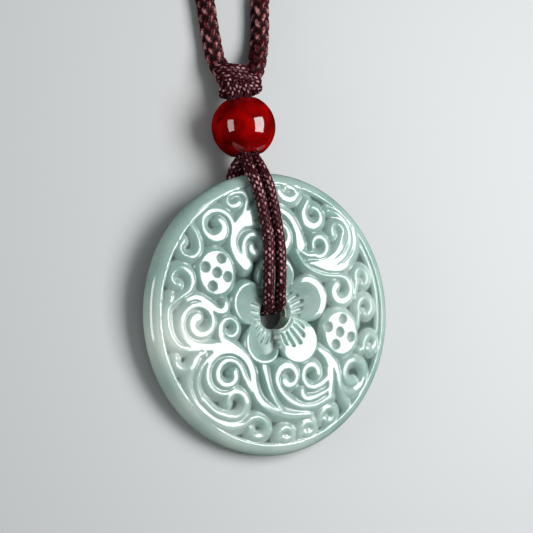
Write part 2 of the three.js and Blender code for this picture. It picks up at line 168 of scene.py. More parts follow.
# A smooth line through the points, with perSpan steps from each point to the next
def smoothLine(points, perSpan, closed=False):
    p = np.asarray(points, float)
    if closed:
        p = np.vstack([p[-1], p, p[0], p[1]])
    else:
        p = np.vstack([2 * p[0] - p[1], p, 2 * p[-1] - p[-2]])
    gap = np.maximum(np.sqrt(np.linalg.norm(np.diff(p, axis=0), axis=1)), 1e-6)
    t = (np.arange(perSpan) / perSpan)[:, None]
    line = []
    for i in range(1, len(p) - 2):
        a, b, c, d = p[i - 1:i + 3]
        before, here, after = gap[i - 1:i + 2]
        leaving = here * ((b - a) / before - (c - a) / (before + here) + (c - b) / here)
        arriving = here * ((c - b) / here - (d - b) / (here + after) + (d - c) / after)
        line.append(
            (2 * t**3 - 3 * t**2 + 1) * b + (t**3 - 2 * t**2 + t) * leaving
            + (3 * t**2 - 2 * t**3) * c + (t**3 - t**2) * arriving
        )
    if not closed:
        line.append(p[-2:-1])
    return np.vstack(line)


def lengthsAlong(line):
    steps = np.linalg.norm(np.diff(line, axis=0), axis=1)
    return np.concatenate([[0.0], np.cumsum(steps)])


def atLengths(line, wanted):
    along = lengthsAlong(line)
    return np.column_stack([np.interp(wanted, along, line[:, k]) for k in range(line.shape[1])])


# Side and over directions of every ring, turned as little as possible from one to the next
def carriedFrames(line, closed=False):
    if closed:
        tangent = np.roll(line, -1, axis=0) - np.roll(line, 1, axis=0)
    else:
        tangent = np.gradient(line, axis=0)
    tangent /= np.linalg.norm(tangent, axis=1)[:, None]
    side = np.zeros_like(line)
    start = np.array((0.0, 0.0, 1.0)) if abs(tangent[0][2]) < 0.9 else np.array((1.0, 0.0, 0.0))
    for i, direction in enumerate(tangent):
        start = start - direction * (start @ direction)
        start = start / np.linalg.norm(start)
        side[i] = start
    return side, np.cross(tangent, side)


def fullTurn(count):
    return np.arange(count) / count * 2 * math.pi


# Faces between rings of points, and with closed between the last ring and the first
def ringFaces(rings, sides, closed):
    ring = np.arange(rings if closed else rings - 1)[:, None] * sides
    beyond = (ring + sides) % (rings * sides)
    j = np.arange(sides)[None, :]
    k = (j + 1) % sides
    return np.stack([ring + j, ring + k, beyond + k, beyond + j], axis=-1).reshape(-1, 4).tolist()


# Points and faces of a tube; radius is each point's distance from the line, ring by ring
def tube(line, radius, closed=False):
    side, over = carriedFrames(line, closed)
    rings, sides = radius.shape
    angle = fullTurn(sides)
    points = (
        line[:, None, :]
        + (radius * np.cos(angle))[:, :, None] * side[:, None, :]
        + (radius * np.sin(angle))[:, :, None] * over[:, None, :]
    ).reshape(-1, 3)
    faces = ringFaces(rings, sides, closed)
    if not closed:
        faces.append(list(range(sides))[::-1])
        faces.append(list(range((rings - 1) * sides, rings * sides)))
    return points, faces


# A number from 0 to 1 for each leaf of a braid, scattered by a steep sine
def leafNumber(column, row):
    steep = np.sin(12.99 * column + 78.23 * row) * 437.6
    return steep - np.floor(steep)


# A round braid shows as leaves in columns, leaning one way and the other by turns. Gives how high
# each point stands, from 0 to 1, and the number of its leaf.
def braidRelief(angle, along, look, pitch):
    columns = 2 * look["yarns"]
    step = 2 * math.pi / columns
    tilt = math.radians(look["leafTilt"])
    height, own = np.zeros_like(angle), np.zeros_like(angle)
    nearest = np.round(angle / step)
    for aside in (-1, 0, 1):
        column = nearest + aside
        odd = column % 2
        across = (angle - column * step) * look["diameter"] / 2
        first = np.round(along / pitch - odd / 2)
        for row in (first - 1, first, first + 1):
            run = along - (row + odd / 2) * pitch
            sway = (1 - 2 * odd) * math.sin(tilt)
            lengthwise = (run * math.cos(tilt) + sway * across) / look["leafLong"]
            sideways = (across * math.cos(tilt) - sway * run) / look["leafWide"]
            bulge = 1 - lengthwise**2 - sideways**2
            own = np.where(bulge > height, leafNumber(column % columns, row), own)
            height = np.maximum(height, bulge)
    return np.sqrt(height), own


def makePiece(name, points, faces, material, attributes=None):
    mesh = bpy.data.meshes.new(name)
    mesh.from_pydata(toFrame(points).tolist(), [], faces)
    mesh.shade_smooth()
    for key, values in (attributes or {}).items():
        layer = mesh.attributes.new(key, "FLOAT", "POINT")
        layer.data.foreach_set("value", np.asarray(values, np.float32).ravel())
    mesh.materials.append(material)
    piece = addObject(name, mesh)
    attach(piece, "root")
    return piece


# Several bodies as one mesh
def together(bodies):
    points, faces, start = [], [], 0
    for bodyPoints, bodyFaces, _ in bodies:
        points.append(bodyPoints)
        faces += [[corner + start for corner in face] for face in bodyFaces]
        start += len(bodyPoints)
    values = {key: np.concatenate([body[2][key] for body in bodies]) for key in bodies[0][2]}
    return np.vstack(points), faces, values


# Finishes

def setInputs(node, values):
    for label, value in values.items():
        node.inputs[label].default_value = value


def addNode(nodes, kind, values=None):
    node = nodes.new("ShaderNode" + kind)
    setInputs(node, values or {})
    return node


def addMath(nodes, operation):
    node = addNode(nodes, "Math")
    node.operation = operation
    return node


def addColorMix(nodes):
    node = addNode(nodes, "Mix")
    node.data_type = "RGBA"
    return node


def addAttribute(nodes, name):
    node = addNode(nodes, "Attribute")
    node.attribute_name = name
    return node


# An empty group with its sockets, each given as its label and its kind
def newGroup(name, inputs, outputs):
    group = bpy.data.node_groups.new(name, "ShaderNodeTree")
    for side, sockets in (("INPUT", inputs), ("OUTPUT", outputs)):
        for label, kind in sockets.items():
            group.interface.new_socket(name=label, in_out=side, socket_type="NodeSocket" + kind)
    nodes = group.nodes
    return group, nodes, group.links, nodes.new("NodeGroupInput"), nodes.new("NodeGroupOutput")


# Cloudy depth inside a polished stone: a colour that wanders between two
def stoneCloudGroup():
    inputs = {"Body": "Color", "Cloud": "Color", "Scale": "Float", "Spread": "Float"}
    group, nodes, links, entry, leave = newGroup("stoneCloud", inputs, {"Color": "Color"})
    place = addNode(nodes, "TexCoord")
    noise = addNode(nodes, "TexNoise", {"Detail": 5.0, "Roughness": 0.62, "Distortion": 0.6})
    spread = addNode(nodes, "MapRange", {"From Min": 0.35, "From Max": 0.7})
    weigh = addMath(nodes, "MULTIPLY")
    mix = addColorMix(nodes)
    links.new(place.outputs["Object"], noise.inputs["Vector"])
    links.new(entry.outputs["Scale"], noise.inputs["Scale"])
    links.new(noise.outputs["Fac"], spread.inputs["Value"])
    links.new(spread.outputs["Result"], weigh.inputs[0])
    links.new(entry.outputs["Spread"], weigh.inputs[1])
    links.new(weigh.outputs[0], mix.inputs["Factor"])
    links.new(entry.outputs["Body"], mix.inputs["A"])
    links.new(entry.outputs["Cloud"], mix.inputs["B"])
    links.new(mix.outputs["Result"], leave.inputs["Color"])
    return group


# Satin yarn with painted light: painted shade takes it to nearly black in the hollows from its own
# dark colour on the crests, and painted highlights make bright flecks where threads catch the light
def yarnPaintedLightGroup():
    inputs = {"Hollow Shade": "Color", "Crest": "Color", "Painted Glint": "Color", "Thread Scale": "Float"}
    outputs = {"Color": "Color", "Height": "Float"}
    group, nodes, links, entry, leave = newGroup("yarnPaintedLight", inputs, outputs)
    relief = addAttribute(nodes, "relief")
    own = addAttribute(nodes, "own")
    place = addNode(nodes, "TexCoord")
    threads = addNode(nodes, "TexNoise", {"Detail": 2.0})
    rise = addMath(nodes, "POWER")
    rise.inputs[1].default_value = 1.6
    share = addNode(nodes, "MapRange", {"To Min": 0.35})
    bright, broken = addMath(nodes, "MULTIPLY"), addMath(nodes, "MULTIPLY")
    # painted highlights: flecks on the crests, scattered by leaf and by thread noise
    glintMask = addNode(nodes, "MapRange", {"From Min": 0.25, "From Max": 0.5})
    mix, withGlints = addColorMix(nodes), addColorMix(nodes)
    links.new(place.outputs["Object"], threads.inputs["Vector"])
    links.new(entry.outputs["Thread Scale"], threads.inputs["Scale"])
    # painted shade: from the crests' own colour down to near black in the hollows
    links.new(relief.outputs["Fac"], rise.inputs[0])
    links.new(rise.outputs[0], mix.inputs["Factor"])
    links.new(entry.outputs["Hollow Shade"], mix.inputs["A"])
    links.new(entry.outputs["Crest"], mix.inputs["B"])
    links.new(own.outputs["Fac"], share.inputs["Value"])
    links.new(share.outputs["Result"], bright.inputs[0])
    links.new(rise.outputs[0], bright.inputs[1])
    links.new(bright.outputs[0], broken.inputs[0])
    links.new(threads.outputs["Fac"], broken.inputs[1])
    links.new(broken.outputs[0], glintMask.inputs["Value"])
    links.new(glintMask.outputs["Result"], withGlints.inputs["Factor"])
    links.new(mix.outputs["Result"], withGlints.inputs["A"])
    links.new(entry.outputs["Painted Glint"], withGlints.inputs["B"])
    links.new(withGlints.outputs["Result"], leave.inputs["Color"])
    links.new(threads.outputs["Fac"], leave.inputs["Height"])
    return group


stoneCloud = stoneCloudGroup()
yarnPaintedLight = yarnPaintedLightGroup()


def newMaterial(name, group, values):
    material = bpy.data.materials.new(name)
    material.use_nodes = True
    nodes, links = material.node_tree.nodes, material.node_tree.links
    shader = nodes["Principled BSDF"]
    effect = addNode(nodes, "Group")
    effect.node_tree = group
    setInputs(effect, values)
    return material, nodes, links, shader, effect


# What both polished stones have
def newStone(name, look):
    material, nodes, links, shader, cloud = newMaterial(name, stoneCloud, {
        "Body": look["body"], "Cloud": look["cloud"],
        "Scale": look["cloudScale"], "Spread": look["cloudSpread"],
    })
    setInputs(shader, {
        "IOR": look["ior"],
        "Specular IOR Level": look["specular"],
        "Subsurface Weight": look["subsurface"],
        "Subsurface Radius": look["subsurfaceRadius"],
        "Subsurface Scale": look["subsurfaceScale"],
    })
    return material, nodes, links, shader, cloud


jadeFinish = {
    "body": (0.235, 0.355, 0.325, 1),
    "cloud": (0.5, 0.6, 0.56, 1),
    # painted shade: the dark green painted into the carving's deep hollows and the pods' holes
    "hollowShade": (0.03, 0.08, 0.058, 1),
    # colour of the stone's whitish clouds, and of the painted light in the bore
    "cloudsAndBoreLight": (0.6, 0.66, 0.61, 1),
    "cloudScale": 110.0,
    "cloudSpread": 0.5,
    "roughness": 0.1,
    "hollowRoughness": 1.0,
    "mattFrom": 0.35,  # how hollow a place is where it has that roughness in full
    "ior": 1.66,
    "specular": 0.8,
    "subsurface": 0.75,
    "subsurfaceRadius": (0.8, 1.4, 1.1),
    "subsurfaceScale": 0.0018,
}


def jadeMaterial():
    look = jadeFinish
    material, nodes, links, shader, cloud = newStone("polishedJade", look)
    # painted shade darkens the hollows and the pods' holes; the same mask makes them matt
    hollowShade, cloudsAndBoreLight = addAttribute(nodes, "hollowShade"), addAttribute(nodes, "cloudsAndBoreLight")
    deepen, lighten = addColorMix(nodes), addColorMix(nodes)
    deepen.inputs["B"].default_value = look["hollowShade"]
    lighten.inputs["B"].default_value = look["cloudsAndBoreLight"]
    # lightens the stone's whitish clouds, and paints light into the bore
    links.new(cloudsAndBoreLight.outputs["Fac"], lighten.inputs["Factor"])
    links.new(cloud.outputs["Color"], lighten.inputs["A"])
    links.new(hollowShade.outputs["Fac"], deepen.inputs["Factor"])
    links.new(lighten.outputs["Result"], deepen.inputs["A"])
    links.new(deepen.outputs["Result"], shader.inputs["Base Color"])
    rough = addNode(nodes, "MapRange", {
        "From Max": look["mattFrom"],
        "To Min": look["roughness"], "To Max": look["hollowRoughness"],
    })
    links.new(hollowShade.outputs["Fac"], rough.inputs["Value"])
    links.new(rough.outputs["Result"], shader.inputs["Roughness"])
    return material


agateFinish = {
    "body": (0.07, 0.0005, 0.0006, 1),
    "cloud": (0.4, 0.0015, 0.002, 1),
    "cloudScale": 260.0,
    "cloudSpread": 1.0,
    "roughness": 0.06,
    "ior": 1.54,
    "specular": 0.75,
    "subsurface": 0.8,
    "subsurfaceRadius": (1.0, 0.1, 0.06),
    "subsurfaceScale": 0.004,
}


def agateMaterial():
    look = agateFinish
    material, _, links, shader, cloud = newStone("polishedAgate", look)
    links.new(cloud.outputs["Color"], shader.inputs["Base Color"])
    shader.inputs["Roughness"].default_value = look["roughness"]
    return material


# What both cords share
satin = {
    "bump": 0.5,
    "bumpDistance": 0.0001,
    "hollowRoughness": 1.0,
    "glossFrom": 0.6,  # how high a place stands where it has the cord's own roughness in full
    "specularTint": (1.0, 0.6, 0.62, 1),
}


def cordMaterial(name, look):
    material, nodes, links, shader, yarn = newMaterial(name, yarnPaintedLight, {
        "Hollow Shade": look["hollowShade"], "Crest": look["crest"],
        "Painted Glint": look["paintedGlint"], "Thread Scale": look["threadScale"],
    })
    links.new(yarn.outputs["Color"], shader.inputs["Base Color"])
    bump = addNode(nodes, "Bump", {"Strength": satin["bump"], "Distance": satin["bumpDistance"]})
    links.new(yarn.outputs["Height"], bump.inputs["Height"])
    links.new(bump.outputs["Normal"], shader.inputs["Normal"])
    relief = addAttribute(nodes, "relief")
    rough = addNode(nodes, "MapRange", {
        "From Max": satin["glossFrom"],
        "To Min": satin["hollowRoughness"], "To Max": look["roughness"],
    })
    links.new(relief.outputs["Fac"], rough.inputs["Value"])
    links.new(rough.outputs["Result"], shader.inputs["Roughness"])
    shader.inputs["Specular IOR Level"].default_value = look["specular"]
    shader.inputs["Specular Tint"].default_value = satin["specularTint"]
    return material


# The hanger: one satin cord doubled through the jade and the bead, knotted round the neck cord

hanger = {
    "diameter": 1.85,
    "yarns": 5,
    "pitch": 0.95,
    "leafLong": 0.52,
    "leafWide": 0.29,
    "leafTilt": 22.0,
    "relief": 0.15,  # depth between the yarns
    "sides": 40,
    "step": 0.125,
    # near-black painted shade in the hollows between the yarns, and the crests' own dark red
    "hollowShade": (0.003, 0.0004, 0.0008, 1),
    "crest": (0.06, 0.005, 0.011, 1),
    # pink painted highlights: flecks where threads catch the light
    "paintedGlint": (0.72, 0.36, 0.38, 1),
    "threadScale": 3600.0,
    "roughness": 0.32,
    "specular": 0.28,
    "boreGap": 0.86,  # from the bead's axis to each of the four strands in its bore
    # along that axis from the bead's centre, and how far off it a strand runs, in boreGaps
    "boreRun": [(4.5, 0.9), (0.0, 1.0), (-3.6, 1.0)],
    "pastKnot": 0.6,  # how far the strands run on from the middle of the knot
    "endHeights": (-0.684, -2.2),  # of their ends against that axis, above and below it
    "wrapPoints": 24,
    "wrapPower": 0.75,  # below 1 a wrap is squarer than an ellipse
}

strandRoutes = [
    [(-1.7, 24.6, 5.7), (-2.2, 23.2, 6.7), (-2.5, 21.6, 7.9), (-2.3, 19.6, 8.6), (-2.0, 17.1, 8.65),
     (-1.7, 14.0, 8.6), (-1.5, 10.9, 8.5), (-1.9, 7.6, 8.35), (-2.2, 4.6, 8.0), (-1.9, 2.7, 6.9),
     (-1.2, 1.2, 5.6), (-0.94, 0.7, 4.4), (-0.93, 0.6, 3.1), (-0.95, 1.0, 1.9), (-1.0, 2.3, 1.1),
     (-1.1, 3.8, 0.97), (-1.4, 8.0, 0.97), (-1.9, 13.0, 0.97), (-2.4, 18.0, 0.98),
     (-2.5, 21.5, 1.7), (-2.2, 23.4, 3.0), (-1.7, 24.6, 4.3)],
    [(-0.3, 24.6, 5.7), (-0.3, 23.2, 6.7), (-0.4, 21.6, 7.9), (-0.2, 19.6, 8.6), (0.1, 17.1, 8.65),
     (0.35, 14.0, 8.6), (0.5, 10.9, 8.5), (0.3, 7.6, 8.35), (0.1, 4.6, 7.9), (0.4, 2.7, 6.8),
     (0.9, 1.2, 5.6), (0.95, 0.7, 4.4), (0.94, 0.6, 3.1), (0.95, 1.0, 1.9), (0.95, 2.3, 1.1),
     (0.9, 3.8, 0.97), (0.6, 8.0, 0.97), (0.2, 13.0, 0.97), (-0.3, 18.0, 0.98), (-0.5, 21.5, 1.7),
     (-0.4, 23.4, 3.0), (-0.3, 24.6, 4.3)],
]
knotAt = np.array((0.3, 36.4, 3.5))

# The wraps of the knot, each a closed loop round the strands and the neck cord
wraps = [
    {"halfWide": 2.9, "halfHigh": 1.35, "shift": (0.0, -0.9, 0.0), "tilt": 0.06, "lean": 0.1},
    {"halfWide": 2.9, "halfHigh": 1.3, "shift": (0.0, 0.85, 0.1), "tilt": -0.2, "lean": 0.0},
    {"halfWide": 2.1, "halfHigh": 1.2, "shift": (-1.2, 2.2, 0.0), "tilt": -0.1, "lean": 0.0},
]


def cordTube(line, look, closed=False):
    along = lengthsAlong(np.vstack([line, line[:1]]) if closed else line)
    pitch = look["pitch"]
    if closed:
        pitch = along[-1] / max(1, round(along[-1] / pitch))
        along = along[:-1]
    height, own = braidRelief(*np.meshgrid(fullTurn(look["sides"]), along), look, pitch)
    radius = look["diameter"] / 2 - look["relief"] * (1 - height)
    points, faces = tube(line, radius, closed)
    return points, faces, {"relief": height.ravel(), "own": own.ravel()}


def evenly(line, step):
    total = lengthsAlong(line)[-1]
    return atLengths(line, np.linspace(0, total, max(3, round(total / step))))


def wrapLine(wrap):
    turn = fullTurn(hanger["wrapPoints"])
    power = hanger["wrapPower"]
    x = wrap["halfWide"] * np.sign(np.cos(turn)) * np.abs(np.cos(turn)) ** power
    z = wrap["halfHigh"] * np.sign(np.sin(turn)) * np.abs(np.sin(turn)) ** power
    y = wrap["tilt"] * x + wrap["lean"] * z
    loop = np.column_stack([x, y, z]) + knotAt + np.array(wrap["shift"])
    return smoothLine(loop, 8, closed=True)


def makeHanger():
    bodies = []
    x, y, z = bead["at"]
    gap = hanger["boreGap"]
    endY = knotAt[1] + hanger["pastKnot"]
    endAbove, endBelow = hanger["endHeights"]
    for route, side in zip(strandRoutes, (-1, 1)):
        strandX = x + side * gap
        above = [(strandX, endY, z + endAbove)]
        above += [(strandX, y + along, z + gap * off) for along, off in hanger["boreRun"]]
        below = [(px, py, 2 * z - pz) for px, py, pz in above[:0:-1]]
        below.append((strandX, endY, z + endBelow))
        line = evenly(smoothLine(above + route + below, 10), hanger["step"])
        bodies.append(cordTube(line, hanger))
    for wrap in wraps:
        loop = wrapLine(wrap)
        around = np.vstack([loop, loop[:1]])
        line = evenly(around, hanger["step"])[:-1]
        bodies.append(cordTube(line, hanger, closed=True))
    points, faces, values = together(bodies)
    piece = makePiece("hangerCord", points, faces, cordMaterial("satinCord", hanger), values)
    print("hanger", len(faces), "faces")
    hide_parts("hanger_cord")


# The neck cord: one closed loop of braid; what the view doesn't reach is wound in a coil

neckCord = {
    "diameter": 3.2,
    "yarns": 4,
    "pitch": 2.25,
    "leafLong": 1.22,
    "leafWide": 0.56,
    "leafTilt": 23.0,
    "relief": 0.5,
    "sides": 32,
    "step": 0.27,
    "fineStep": 0.12,
    "fineLength": 24.0,  # at each end, in view, the rings lie closer together
    "pathStep": 1.2,
    "coilStep": 20.0,  # degrees
    "coilRadii": (20.7, 17.5, 14.3),
    "coilCentre": (4.4, 80.6),
    "entry": 220.0,  # degrees round the coil where the left leg joins it
    "exit": 330.0,
    "ease": 40.0,  # degrees over which one turn steps over to the next
    # near-black painted shade in the hollows between the yarns, and the crests' own dark red
    "hollowShade": (0.002, 0.0004, 0.0005, 1),
    "crest": (0.085, 0.006, 0.01, 1),
    # pink painted highlights: flecks where threads catch the light
    "paintedGlint": (0.46, 0.2, 0.2, 1),
    "threadScale": 1900.0,
    "roughness": 0.27,
    "specular": 0.5,
}
leftLeg = [
    (-1.5, 36.6, 3.4), (-2.2, 38.4, 3.1), (-2.6, 40.4, 2.3), (-2.6, 43.0, 1.75), (-2.7, 46.5, 1.62),
    (-2.8, 50.6, 1.62), (-3.6, 54.4, 1.62), (-5.4, 58.0, 1.62), (-8.2, 62.4, 1.62),
]
rightLeg = [
    (17.2, 62.9, 4.4), (14.6, 60.4, 2.9), (11.6, 57.2, 1.62), (9.2, 54.0, 1.62), (7.6, 50.6, 1.62),
    (6.9, 46.5, 1.62), (6.1, 43.0, 1.75), (5.0, 40.4, 2.3), (3.6, 38.4, 3.1), (2.0, 36.6, 3.4),
]


# The coil's centreline: three turns below from the outside in, then three above them from the
# inside out
def coilPoints():
    radii, step = neckCord["coilRadii"], neckCord["coilStep"]
    centreX, centreY = neckCord["coilCentre"]
    low = neckCord["diameter"] / 2
    high = low * 3
    turns = [(radius, low) for radius in radii] + [(radius, high) for radius in radii[::-1]]
    span = (len(turns) - 1) * 360 + (neckCord["entry"] - neckCord["exit"]) % 360
    points = []
    for i in range(int(span / step) + 1):
        turned = i * step
        which = min(int(turned // 360), len(turns) - 1)
        share = eased((turned - which * 360) / neckCord["ease"])
        now, before = turns[which], turns[max(0, which - 1)]
        radius = before[0] + (now[0] - before[0]) * share
        height = before[1] + (now[1] - before[1]) * share
        angle = math.radians(neckCord["entry"] - turned)
        x, y = centreX + radius * math.cos(angle), centreY + radius * math.sin(angle)
        points.append((x, y, height))
    return points


def makeNeckCord():
    line = smoothLine(leftLeg + coilPoints() + rightLeg, 12)
    total = lengthsAlong(line)[-1]
    ends = neckCord["fineLength"]
    fine = np.arange(0, ends, neckCord["fineStep"])
    middle = np.arange(ends, total - ends, neckCord["step"])
    wanted = np.concatenate([fine, middle, total - fine[::-1]])
    rings = atLengths(line, wanted)
    points, faces, values = cordTube(rings, neckCord)
    piece = makePiece("neckCord", points, faces, cordMaterial("braidedCord", neckCord), values)
    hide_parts("necklace_cord_left", "necklace_cord_right", "necklace_coil")
    print("neck cord", round(total), "mm,", len(faces), "faces")


makeNeckCord()
makeHanger()
print("cords made")


# The agate bead

# Its outline in section, as (distance from the axis, place along it)
def beadProfile():
    bore, rounding = bead["bore"] / 2, bead["mouthRounding"]
    inset = bore + rounding
    # the mouth's rounding touches both the ball and the bore
    mouthAt = math.sqrt((beadRadius - rounding) ** 2 - inset**2)
    tip = math.atan2(mouthAt, inset)
    ball = np.linspace(-tip, tip, bead["rings"])
    profile = [(beadRadius * math.cos(a), beadRadius * math.sin(a)) for a in ball]
    upper = np.linspace(tip, math.pi, bead["mouthSteps"])[1:]
    profile += [(inset + rounding * math.cos(a), mouthAt + rounding * math.sin(a)) for a in upper]
    profile += [(bore, along) for along in np.linspace(mouthAt, -mouthAt, bead["boreSteps"])[1:]]
    lower = np.linspace(math.pi, 2 * math.pi - tip, bead["mouthSteps"])[1:-1]
    profile += [(inset + rounding * math.cos(a), rounding * math.sin(a) - mouthAt) for a in lower]
    return np.array(profile)


def makeBead():
    profile = beadProfile()
    turn = fullTurn(bead["segments"])
    x = profile[None, :, 0] * np.cos(turn)[:, None]
    z = profile[None, :, 0] * np.sin(turn)[:, None]
    y = np.broadcast_to(profile[None, :, 1], x.shape)
    points = np.stack([x, y, z], axis=-1).reshape(-1, 3) + np.array(bead["at"])
    faces = ringFaces(len(turn), len(profile), closed=True)
    piece = makePiece("agateBead", points, faces, agateMaterial())
    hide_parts("agate_bead")


makeBead()
print("bead made")


# The jade

jade = {
    "rim": 3.4,  # thickness
    "rimRounding": 1.2,
    "crown": 1.2,  # how far the middle of the face stands above the band
    "crownPower": 6,  # the face is nearly level in the middle and falls faster near the rim
    "ground": 1.2,  # depth of the carving
    "bore": 4.8,
    "chamfer": 1.0,
    "clearance": 0.3,  # between the disc and the strands behind it
    "shallow": 0.45,  # how much less deep the ground is at the rim
    "shallowFrom": 14.0,  # radius where that begins
    "shallowRun": 6.0,
    "wallRun": 1.15,  # how far a scroll's side runs out while it falls to the ground
    "bandStep": 0.4,  # width of the flat of the band beside the rim's rounding
    "bandRun": 0.5,  # the band's side is steep
    "mouth": 0.75,  # rounding where the petals run into the bore
    "web": 0.1,  # how softly scrolls run together
    "webReach": 1.5,  # how far beyond its side a scroll still counts
    "wobble": 0.012,  # left by polishing by hand
    "spacing": 0.142,  # of the points of the face
    "faceReach": 0.05,  # how far they go on past the band
    "ringClear": 0.6,  # spacings left free beside the rings at the rim and the bore
    "snapReach": 0.52,  # how many spacings they move to lie on an edge
    "rimClear": 0.02,  # how near the rings they may come by that
    "boreClear": 0.04,
    "rimCount": 880,
    "boreCount": 104,
    "roundingSteps": (11, 9),  # above and below
    "backRings": (0.6, 0.3),  # how far in from the rounding and out from the chamfer
    "backFrom": 0.25,  # no face of the back lies nearer to the chamfer
    "boreRing": 1.4,  # height of a ring in the bore
    "shadeFrom": 0.55,  # share of the depth where the painted shade of the hollows begins
    "shadeRun": 0.6,
    "petalShade": 0.1,  # share of that painted shade in the petals, and how much painted shade the pods' holes get
    "holeShade": 0.25,
}
discLow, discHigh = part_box("jade_disc")
discRadius = (discHigh.x - discLow.x) / 2 / mm
bandInner = discRadius - jade["rimRounding"]
crownTop = jade["rim"] + jade["crown"]
boreRadius = jade["bore"] / 2
farAway = 9.0  # from any edge

# The disc leans on the strands behind it, with its lower rim on the surface
rise = hanger["diameter"] + jade["clearance"]
lean = math.atan(rise / (bandInner + boreRadius + jade["chamfer"]))
lift = bandInner * math.sin(lean) + jade["rimRounding"] * (1 - math.cos(lean))

